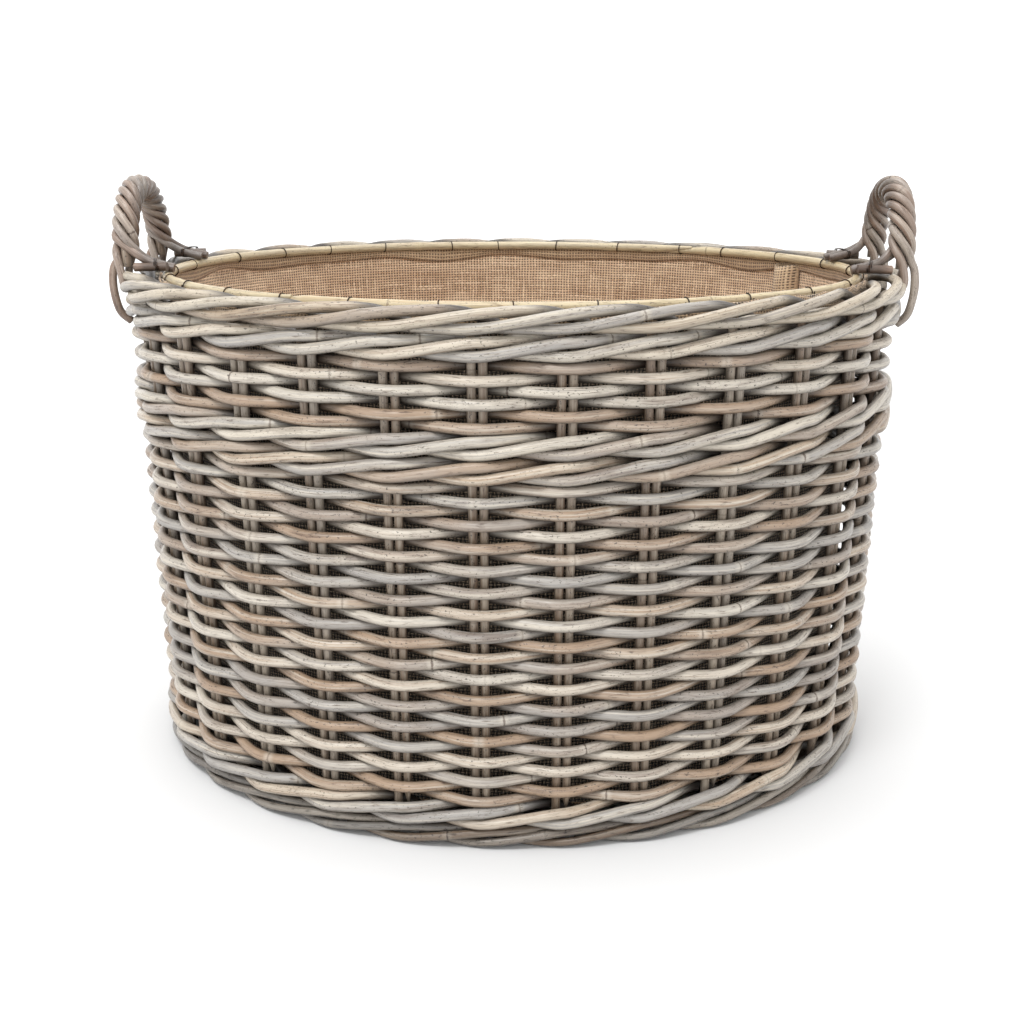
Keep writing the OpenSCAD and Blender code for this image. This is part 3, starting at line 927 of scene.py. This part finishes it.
def tail(n, side):
    """The corners from the rope's end to the cane's own end."""
    if n == 0:
        out = BORDER_OUT + HANDLE_T / 2 + 0.0006
        tuck = THROW + (CANE_T + HANDLE_T) / 2
        corners = ((0.001, out + 0.001, RIM_H + 0.004), (0.002, out + 0.0028, RIM_H - 0.012),
                   (0.001, out + 0.001, RIM_H - 0.028), (-0.003, out - 0.0015, WALE_TOP_Z + 0.001),
                   (-0.008, tuck - 0.003, WALE_TOP_Z - 0.006))
        return [leg_pt(side, *corner) for corner in corners]
    if n in CROSSING:
        spread = tail_spread if n == CROSSING[0] else -tail_spread
        return [leg_pt(side, spread * 0.8, -0.004, RIM_H + 0.0105),
                leg_pt(side, spread, -0.016, RIM_H + 0.0060),
                leg_pt(side, spread, -tail_off - 0.002, RIM_H + 0.0030)]
    end = strand(n, np.array(0.0 if side < 0 else 1.0))
    return [(end[0], end[1], RIM_H - 0.004), (end[0] - 0.001, end[1], RIM_H - 0.010)]


def strand_line(n):
    """The whole cane; the ones that cross the border leave the rope a little way up."""
    leave = 12 if n in CROSSING else 3
    middle = strand(n, np.linspace(0, 1, 120))
    head, foot = np.array(tail(n, -1))[::-1], np.array(tail(n, 1))
    near = eased(np.vstack([head, middle[leave:leave + 4:2]]))
    far = eased(np.vstack([middle[-leave - 3:-leave:2], foot]))
    return np.vstack([near, middle[leave + 3:-leave - 3], far])


def turned(points, hand):
    """The right handle's points, or the same ones turned half round."""
    return points * (-1, -1, 1) if hand == "left" else points


# %% Handle canes, hearts and pegs
def peg_line(side):
    """A short cane across the border, beside the tails."""
    return np.array([leg_pt(side, peg_spread - 0.003, 0.004, RIM_H + over_h - 0.002),
                     leg_pt(side, peg_spread, -tail_off + 0.004, RIM_H + over_h - 0.001)])


for hand in ("left", "right"):
    for n in range(STRANDS):
        canes(f"handle_{hand}_cane_{n + 1}", [Line(turned(strand_line(n), hand))], HANDLE,
              "handle_cane", [f"handle_{hand}_strand_{n + 1}"], joints=(0.15, 0.05),
              Thickness=HANDLE_T, Step=0.003, Sides=16, Unevenness=0.05, Seed=71 + n)
    core = Line(turned(arch(np.linspace(0, 1, 60)), hand))
    canes(f"handle_{hand}_heart", [core], STAKE, "handle_cane", [f"handle_{hand}_core"],
          Thickness=2 * ROPE_R - HANDLE_T - 0.0006, Seed=79)
    pegs = [Line(turned(peg_line(side), hand)) for side in (-1, 1)]
    canes(f"handle_{hand}_stubs", pegs, HANDLE, "handle_cane", [f"handle_{hand}_pegs"],
          Thickness=HANDLE_T * 1.05, Sides=14, Seed=83)


# %% [markdown]
# ### The wire that binds the tails
#
# Thin wire goes twice round the two crossing canes and the peg. A circle stretched to the
# width of the three, with its turns pushed a little apart, gives its line.

# %% Handle wire
def binding(hand, side):
    """Two turns of wire round the two crossing canes and the peg."""
    ends = [np.array(leg_pt(side, spread, -BORDER_THROW, RIM_H + over_h))
            for spread in (-tail_spread, peg_spread)]
    middle, half = (ends[0] + ends[1]) / 2, np.linalg.norm(ends[1] - ends[0]) / 2
    run = (ends[1] - ends[0]) / (2 * half)
    inward = np.array([-run[1], run[0], 0]) * side
    turn = np.linspace(0, 4 * math.pi, 110)
    reach, depth = half + HANDLE_T / 2 + 0.0007, HANDLE_T / 2 + 0.0007
    ring = (np.clip(1.5 * np.cos(turn), -1, 1)[:, None] * reach * run
            + np.outer(np.sin(turn), (0, 0, depth)))
    apart = np.outer(turn / (2 * math.pi) - 1, inward) * 0.0016
    return Line(turned(middle + ring + apart, hand), tone=0.5)


for hand in ("left", "right"):
    canes(f"handle_{hand}_wire", [binding(hand, -1), binding(hand, 1)], WIRE, "wire",
          [f"handle_{hand}_ties"], Seed=5, **AS_WIRE)

# %% [markdown]
# ## The base
#
# The foot hoop is one thick cane bent round, with a flat underside to stand on. Straight
# sticks cross the base, and flat split canes go over and under them.

# %% Foot hoop
FOOT_HOOP_W, FOOT_HOOP_EASE = 0.012, 0.0022
hoop_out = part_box("foot_hoop")[1][0] - float(half_w(0))
hoop_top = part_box("foot_hoop")[1][2]


def flat_ring(name, off_out, width, z0, z1, ease, steps=220):
    """A ring of rectangular section with eased edges round the plan of the wall."""
    section = []
    for sx, sz in ((1, -1), (1, 1), (-1, 1), (-1, -1)):
        first = (sx * (width / 2 - ease), sz * ((z1 - z0) / 2))
        second = (sx * (width / 2), sz * ((z1 - z0) / 2 - ease))
        section += [first, second] if sx * sz < 0 else [second, first]
    turns = np.linspace(0, 2 * math.pi, steps, endpoint=False)
    middle = off_out - width / 2
    verts = [tuple(wall_at(np.array(t), middle + x, 0.0)[:2]) + ((z0 + z1) / 2 + z,)
             for t in turns for x, z in section]
    n = len(section)
    faces = [(i * n + j, ((i + 1) % steps) * n + j, ((i + 1) % steps) * n + (j + 1) % n,
              i * n + (j + 1) % n) for i in range(steps) for j in range(n)]
    mesh = mesh_of(name, verts, faces)
    run = np.repeat(np.interp(turns, angles, lengths), n)
    cross = np.tile(np.array(section), (steps, 1))
    store(mesh, "grain", np.c_[run + 3.1, cross], "FLOAT_VECTOR")
    store(mesh, "tone", np.full(len(verts), 0.6))
    return mesh


ring_mesh = flat_ring("hoop_foot", hoop_out, FOOT_HOOP_W, 0.0, hoop_top, FOOT_HOOP_EASE)
placed("hoop_foot", ring_mesh, FOOT, ["foot_hoop"])

# %% [markdown]
# ### Sticks and slats
#
# The sticks are straight round canes, each as long as the oval is wide where it lies. The
# slats are cane split flat, which a sweep of a circle cannot give, so their section is
# written out and carried along a line that goes over one stick and under the next.

# %% Sticks
stick_low, stick_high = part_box("base_sticks")
STICK_T = stick_high[2] - stick_low[2]
STICKS = 9
stick_z = (stick_low[2] + stick_high[2]) / 2
stick_d = stick_high[1]
stick_w = float(half_w(stick_z)) - (float(half_d(stick_z)) - stick_d)
stick_pitch = 2 * stick_w / (STICKS + 1)
stick_xs = [(j - (STICKS + 1) / 2) * stick_pitch for j in range(1, STICKS + 1)]


def reach(at, a, b):
    """How far an ellipse of half sizes a and b reaches at a place along a."""
    return b * math.sqrt(max(0.0, 1 - (at / a) ** 2))


stick_lines = []
for x in stick_xs:
    end = reach(x, stick_w, stick_d)
    stick_lines.append(Line([(x, y, stick_z) for y in np.linspace(-end, end, 40)]))
canes("sticks_base", stick_lines, STAKE, "stake_cane", ["base_sticks"], Thickness=STICK_T,
      Seed=91)

# %% Slats
SLAT_T, SLAT_W, SLAT_PITCH = 0.004, 0.017, 0.020
SLAT_EASE, SLAT_CROWN = 0.0012, 0.0004
slat_throw = (STICK_T + SLAT_T) / 2 + 0.0002
slat_room_d, slat_room_w = stick_d - FOOT_HOOP_W, stick_w - FOOT_HOOP_W
slat_rows = int(0.94 * slat_room_d / SLAT_PITCH)


def slat_path(row):
    """x and z along one flat cane, over one stick and under the next."""
    room = reach(abs(row) * SLAT_PITCH + SLAT_W / 2, slat_room_d, slat_room_w)
    inner = [j for j, x in enumerate(stick_xs, 1) if abs(x) < room - STICK_T]
    height = {j: slat_throw if (j + row + 100) % 2 == 0 else -slat_throw for j in inner}
    corners = [(-room, height[inner[0]])]
    for j in inner:
        corners += [(stick_xs[j - 1] - STICK_T / 2, height[j]),
                    (stick_xs[j - 1] + STICK_T / 2, height[j])]
    return finer(eased(corners + [(room, height[inner[-1]])], cuts=2), 0.012)


def slat_mesh(name, rows):
    """Every second flat cane: a low crowned section carried along its path."""
    verts, faces, grain, tone = [], [], [], []
    edge, flat, high = SLAT_W / 2, SLAT_W / 2 - SLAT_EASE, SLAT_T / 2
    section = [(-edge, 0), (-flat, high), (0, high + SLAT_CROWN), (flat, high), (edge, 0),
               (flat, -high), (-flat, -high)]
    n = len(section)
    for row in rows:
        path, own, start = slat_path(row), rng.random(), len(verts)
        for x, z in path:
            for across, up in section:
                verts.append((x, row * SLAT_PITCH + across, stick_z + z + up))
                grain.append((x + row * 1.7, across, up))
                tone.append(own)
        for i in range(len(path) - 1):
            for j in range(n):
                a, b = start + i * n + j, start + i * n + (j + 1) % n
                faces.append((a, a + n, b + n, b))
        faces.append(tuple(start + j for j in range(n)))
        faces.append(tuple(start + (len(path) - 1) * n + j for j in reversed(range(n))))
    mesh = mesh_of(name, verts, faces)
    store(mesh, "grain", grain, "FLOAT_VECTOR")
    store(mesh, "tone", tone)
    return mesh


SLAT = cane_finish("split_slat", "A2937A 8C7050 BBA888 4E3826", 0.8, 0.5)
for label, rest in (("odd", 1), ("even", 0)):
    rows = [r for r in range(-slat_rows, slat_rows + 1) if r % 2 == rest]
    placed(f"slats_{label}", slat_mesh(f"slats_{label}", rows), SLAT,
           [f"base_slats_{label}"])

# %% [markdown]
# ## The hessian liner
#
# Hessian is a coarse plain weave of jute. The liner is a bag: an oval base and a side
# cloth a little longer than the wall is round, so that it stands in soft folds, with a
# turned hem under the hoop. The folds are worked out, not simulated, because the cloth is
# held all round, top and bottom. Its weave comes from a UV map in metres of cloth.


# %% Plain weave group
THREADS = 370.0


def thread_set(tree, own, other, shift):
    """The threads that run one way: their height, whether there is one here, their tone."""
    middle = maths(tree, "ABSOLUTE", minus(tree, maths(tree, "FRACT", own), 0.5))
    number = maths(tree, "FLOOR", own)
    slub = add(tree, "ShaderNodeCombineXYZ", {0: number, 1: times(tree, other, 0.07), 2: shift})
    fat = noise(tree, slub.outputs[0], 1.0)
    half = ramp(tree, fat, 0.3, 0.7, 0.28, 0.44, smooth=False)
    round_top = maths(tree, "SUBTRACT", 1.0, maths(tree, "DIVIDE", middle, half), clamp=True)
    turn = plus(tree, other, number, shift)
    over = maths(tree, "MULTIPLY_ADD", maths(tree, "SINE", times(tree, turn, math.pi)), 0.25, 0.75)
    height = times(tree, maths(tree, "SQRT", round_top), over)
    return height, ramp(tree, round_top, 0.0, 0.25), fat


def plain_weave():
    """Threads over and under one another, from a UV in metres."""
    tree, given = new_tree("plain_weave", "ShaderNodeTree", (
        ("INPUT", "Vector", {"UV": None}),
        ("INPUT", "Float", {"Threads per metre": THREADS}),
        ("OUTPUT", "Float", dict.fromkeys(("Height", "Gap", "Thread tone", "Bands")))))
    wander = add(tree, "ShaderNodeTexNoise",
                 {"Vector": given["UV"], "Scale": 60.0, "Detail": 2.0}).outputs["Color"]
    uv = vmaths(tree, "ADD", given["UV"], vmaths(tree, "MULTIPLY", wander, (0.0016, 0.0016, 0)))
    u, v, _ = add(tree, "ShaderNodeSeparateXYZ",
                  {0: scaled_by(tree, uv, given["Threads per metre"])}).outputs
    height_a, here_a, tone_a = thread_set(tree, u, v, 0.0)
    height_b, here_b, tone_b = thread_set(tree, v, u, 1.0)
    gap = maths(tree, "SUBTRACT", 1.0, maths(tree, "MAXIMUM", here_a, here_b), clamp=True)
    a_up = maths(tree, "GREATER_THAN", height_a, height_b)
    tone = plus(tree, times(tree, a_up, tone_a), times(tree, minus(tree, 1.0, a_up), tone_b))
    bands = noise(tree, vmaths(tree, "MULTIPLY", given["UV"], (3.0, 26.0, 0)), 1.0)
    group_outputs(tree, Height=maths(tree, "MAXIMUM", height_a, height_b), Gap=gap,
                  Thread_tone=tone, Bands=bands)
    return tree


PLAIN_WEAVE = plain_weave()
print("plain weave:", len(PLAIN_WEAVE.nodes), "nodes")


# %% Hessian finish
def hessian(name, light, dark, hole, shade=(0.15, 0.75)):
    """Jute cloth: light and dark threads, fluff on them, and painted shade in the holes and where
    the threads dip.
    """
    material, tree, shader = new_material(name)
    uv = add(tree, "ShaderNodeUVMap", uv_map="cloth").outputs[0]
    cloth = add(tree, "ShaderNodeGroup", node_tree=PLAIN_WEAVE)
    tree.links.new(uv, cloth.inputs["UV"])
    weave_of = cloth.outputs
    share = ramp(tree, plus(tree, times(tree, weave_of["Thread tone"], 0.7),
                            times(tree, weave_of["Bands"], 0.5)), 0.35, 0.85)
    body = mix(tree, share, colour(dark), colour(light))
    # Painted shade: where the threads dip low between crossings they are mixed towards the dark
    # hole colour.
    body = mix(tree, ramp(tree, weave_of["Height"], *shade, 0.85, 0.0), body, colour(hole))
    fluff = noise(tree, vmaths(tree, "MULTIPLY", uv, (2600.0, 2600.0, 1.0)), 1.0)
    body = mix(tree, ramp(tree, fluff, 0.55, 0.75, 0.0, 0.25), body, colour("E2C9A6"))
    body = mix(tree, times(tree, weave_of["Gap"], 0.9), body, colour(hole))
    tree.links.new(body, shader.inputs["Base Color"])
    for socket, value in (("Roughness", 0.92), ("Sheen Weight", 0.25), ("Sheen Roughness", 0.6)):
        shader.inputs[socket].default_value = value
    rise = plus(tree, weave_of["Height"], times(tree, fluff, 0.25))
    relief(tree, shader, rise, 0.8, 0.0009)
    return material


HESSIAN = hessian("hessian", "F7DCBC", "B8916E", "33231A")
# The faces behind the canes get a darker copy, painted shade: near-black holes and light only on
# the thread tops.
HESSIAN_OUT = hessian("hessian_shaded", "E6D2B8", "B89C7E", "060302", shade=(0.62, 0.95))
HEM = hessian("hessian_hem", "CDB391", "AB8C6C", "4A3727")

print("cloth finishes:", [m.name for m in (HESSIAN, HESSIAN_OUT, HEM)])

# %% [markdown]
# ### Side cloth
#
# A flat grid is bent round the wall and then pushed in here and there by a few slow waves,
# which die away where the hoop and the base hold the cloth. Solidify then gives the sheet
# its thickness. The outer faces, behind the canes, get a darker copy of the hessian as
# painted shade.

# %% Side cloth
CLOTH_T = 0.0012
FOLD_DEPTH = 0.0022
cloth_low, cloth_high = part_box("liner_side")
SIDE_Z0, SIDE_Z1 = cloth_low[2], cloth_high[2]
CLOTH_OFF = cloth_high[0] - float(half_w(SIDE_Z1)) - CLOTH_T / 2


def soft_folds(u, v):
    """How far the cloth stands in from the wall at u round and v up, both 0 to 1."""
    held = (np.sin(math.pi * np.clip(v * 1.02, 0, 1))) ** 0.7
    waves = np.zeros_like(u)
    for f, a, lean in ((5, 1.0, 0.3), (9, 0.8, -0.5), (14, 0.5, 0.9), (23, 0.3, -1.4)):
        phase = 2 * math.pi * (f * u + lean * v + 0.37 * f)
        waves += a * (0.5 + 0.5 * np.sin(phase))
    return FOLD_DEPTH * held * waves + 0.0004


def sheet_grid(name, place, cols, rows, size, closed):
    """A mesh grid with a UV map in metres of cloth."""
    width, height = size
    u, v = np.meshgrid(np.arange(cols + (not closed)) / cols, np.arange(rows + 1) / rows)
    points = place(u, v).reshape(-1, 3)
    across = u.shape[1]
    faces, uvs = [], []
    for r in range(rows):
        for c in range(cols):
            right = (c + 1) % across if closed else c + 1
            low, high = r * across, (r + 1) * across
            faces.append((low + c, low + right, high + right, high + c))
            u0, u1 = c / cols * width, (c + 1) / cols * width
            v0, v1 = r / rows * height, (r + 1) / rows * height
            uvs += [(u0, v0), (u1, v0), (u1, v1), (u0, v1)]
    mesh = mesh_of(name, points, faces)
    layer = mesh.uv_layers.new(name="cloth")
    layer.data.foreach_set("uv", np.array(uvs, "f").ravel())
    return mesh


def cloth_piece(name, mesh, finish, replaced):
    """A sheet as a piece of the basket, with its real thickness applied."""
    obj = placed(name, mesh, finish, replaced)
    solid = obj.modifiers.new("thick", "SOLIDIFY")
    solid.thickness, solid.offset, solid.use_even_offset = CLOTH_T, 0.0, True
    thick = applied(obj)
    obj.modifiers.clear()
    obj.data = thick
    thick.shade_smooth()
    return obj


def round_sheet(name, place, rows, height, finish, replaced):
    """A cloth that runs right round inside the wall."""
    mesh = sheet_grid(name, place, 480, rows, (side_round, height), True)
    return cloth_piece(name, mesh, finish, replaced)


def side_place(u, v):
    z = SIDE_Z0 + (SIDE_Z1 - SIDE_Z0) * v
    return wall_at(2 * math.pi * u, CLOTH_OFF - soft_folds(u, v), z)


side_round = float(lengths[-1] + 2 * math.pi * CLOTH_OFF)
side_height = SIDE_Z1 - SIDE_Z0
side = round_sheet("liner_cloth_side", side_place, 40, side_height, HESSIAN, ["liner_side"])
side.data.materials.append(HESSIAN_OUT)
for face in side.data.polygons:
    if face.normal.x * face.center.x + face.normal.y * face.center.y > 0:
        face.material_index = 1

# %% [markdown]
# ### Base cloth
#
# The base is an oval disc with low bumps. It could be a flat grid cut to shape, but rings
# about a middle point give it a clean edge. Its UV map is the plan, so that the threads
# run straight across it.

# %% Base cloth
base_low, base_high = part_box("liner_base")
BASE_Z = (base_low[2] + base_high[2]) / 2


def base_place(u, v):
    turn, radius = 2 * math.pi * u, v
    waves = np.sin(turn * 7 + radius * 9) + np.sin(turn * 3 - radius * 15)
    bumps = 0.0006 * waves * (1 - radius)
    return np.stack([base_high[0] * radius * np.cos(turn), base_high[1] * radius * np.sin(turn),
                     BASE_Z + bumps], -1)


def base_mesh():
    """An oval disc of rings, with its cloth laid square to it."""
    rings, spokes = 26, 120
    u, v = np.meshgrid(np.arange(spokes) / spokes, np.arange(1, rings + 1) / rings)
    points = np.vstack([[(0, 0, BASE_Z)], base_place(u, v).reshape(-1, 3)])
    faces = [(0, 1 + c, 1 + (c + 1) % spokes) for c in range(spokes)]
    for r in range(rings - 1):
        for c in range(spokes):
            a, b = 1 + r * spokes + c, 1 + r * spokes + (c + 1) % spokes
            faces.append((a, a + spokes, b + spokes, b))
    mesh = mesh_of("liner_cloth_base", points, faces)
    layer = mesh.uv_layers.new(name="cloth")
    for loop in mesh.loops:
        layer.data[loop.index].uv = tuple(points[loop.vertex_index][:2])
    return mesh


base = cloth_piece("liner_cloth_base", base_mesh(), HESSIAN, ["liner_base"])

# %% [markdown]
# ### Hem, fold and pleat
#
# The top of the cloth is turned down outside under the hoop. A strip of spare cloth hangs
# inside to a wavy edge, and at the right of the back a pleat takes up what is left over.
# All three are grids again, each bent by its own rule.

# %% Hem and fold
hem_low, hem_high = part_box("liner_hem")


def hem_place(u, v):
    """Down outside the side cloth from its top edge, which stands in a low frill."""
    frill = 0.0016 * np.sin(2 * math.pi * 61 * u + 3 * np.sin(40 * u)) * v
    z = hem_high[2] - (hem_high[2] - hem_low[2]) * (1 - v) + frill
    return wall_at(2 * math.pi * u, CLOTH_OFF + 0.0016, z)


hem = round_sheet("liner_turned_hem", hem_place, 3, 0.018, HEM, ["liner_hem"])


def fold_place(u, v):
    """Spare cloth turned down inside, which hangs from under the hoop to a wavy edge."""
    drop = (0.0105 + 0.0022 * np.sin(2 * math.pi * 11 * u)
            + 0.0016 * np.sin(2 * math.pi * 17 * u + 2))
    bulge = 0.0030 + 0.0012 * np.sin(2 * math.pi * 13 * u + 1) * v
    z = HOOP_Z - 0.0030 - drop * v
    stand = bulge * np.sin(math.pi * (0.15 + 0.75 * v))
    return wall_at(2 * math.pi * u, CLOTH_OFF - CLOTH_T - stand, z)


fold = round_sheet("liner_turned_fold", fold_place, 5, 0.011, HEM, [])

# %% Pleat
pleat_low, pleat_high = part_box("liner_pleat")
pleat_turn = math.radians(29)


def pleat_place(u, v):
    """A soft flap of spare cloth that stands in, rolls over to one side and widens below."""
    belly = 0.55 + 0.45 * np.sin(math.pi * v) + 0.15 * v
    depth = 0.0125 * np.sin(math.pi * u ** 0.8) ** 0.7 * belly
    drift = (0.030 * (u - 0.5) + 0.009 * np.sin(math.pi * u) * (0.4 + v)) / 0.30
    z = pleat_low[2] + (pleat_high[2] - pleat_low[2]) * v - 0.004 * np.sin(math.pi * u) * v
    return wall_at(pleat_turn + drift, CLOTH_OFF - 0.0030 - depth, z)


pleat_mesh = sheet_grid("liner_spare_pleat", pleat_place, 20, 14, (0.036, 0.07), False)
pleat = cloth_piece("liner_spare_pleat", pleat_mesh, HEM, ["liner_pleat"])

# %% The sheets' own sizes
print(f"side cloth {side_height:.3f} by {side_round:.3f} m")

# %% [markdown]
# ## Floor, light and camera
#
# The basket stands on a pale floor under a soft key light, a weaker fill and a top light,
# in the open white of the room, as it would for a catalogue. The camera is a little above
# the rim and looks down on it.


# %% Studio
FLOOR_HALF, FLOOR_GREY = 1.9, 0.68
ROOM_LIGHT = 1.35


def floor():
    """A plain pale square."""
    corners = [(x * FLOOR_HALF, y * FLOOR_HALF, 0) for x, y in ((-1, -1), (1, -1), (1, 1), (-1, 1))]
    mesh = mesh_of("floor", corners, [(0, 1, 2, 3)])
    material, _, shader = new_material("studio_floor")
    shader.inputs["Base Color"].default_value = (FLOOR_GREY, FLOOR_GREY, FLOOR_GREY, 1)
    shader.inputs["Roughness"].default_value = 0.9
    mesh.materials.append(material)
    shown("floor", mesh)


def soft_light(name, place, aim, size, power):
    """A round area light that faces its aim."""
    data = bpy.data.lights.new(name, "AREA")
    data.shape, data.size, data.energy = "DISK", size, power
    obj = shown(name, data)
    obj.location = place
    gaze = np.array(aim) - np.array(place)
    yaw = math.atan2(gaze[0], -gaze[1])
    pitch = math.atan2(math.hypot(gaze[0], gaze[1]), -gaze[2])
    obj.rotation_euler = (pitch, 0, yaw)


floor()
soft_light("key", (-0.7, -1.5, 2.5), (0, 0, 0.25), 1.1, 100)
soft_light("fill", (1.8, -1.0, 1.6), (0, 0, 0.25), 1.6, 20)
soft_light("top", (0.1, 0.4, 2.6), (0, 0, 0.2), 1.4, 26)
world = bpy.data.worlds.new("room")
world.use_nodes = True
background = world.node_tree.nodes["Background"]
background.inputs["Color"].default_value = (1, 1, 1, 1)
background.inputs["Strength"].default_value = ROOM_LIGHT
bpy.context.scene.world = world
bpy.context.scene.view_settings.view_transform = "Standard"
print("lights:", [light.name for light in bpy.data.lights])

# %% [markdown]
# ### Camera
#
# The camera orbits the basket by a small angle, at its own distance and height, and tilts
# down. A longer lens from further off would flatten the oval of the rim.

# %% Camera
camera_data = bpy.data.cameras.new("camera")
camera_data.sensor_width = 36.0
camera_data.lens = 43.5
camera_data.clip_start = 0.05
camera = shown("camera", camera_data)
orbit, distance, eye, tilt = 0.030, 1.1425, 0.5698, 0.3073
camera.location = (distance * math.sin(orbit), -distance * math.cos(orbit), eye)
camera.rotation_euler = (math.pi / 2 - tilt, 0, orbit)
bpy.context.scene.camera = camera
print(f"camera {distance:.3f} m off and {eye:.3f} m up")
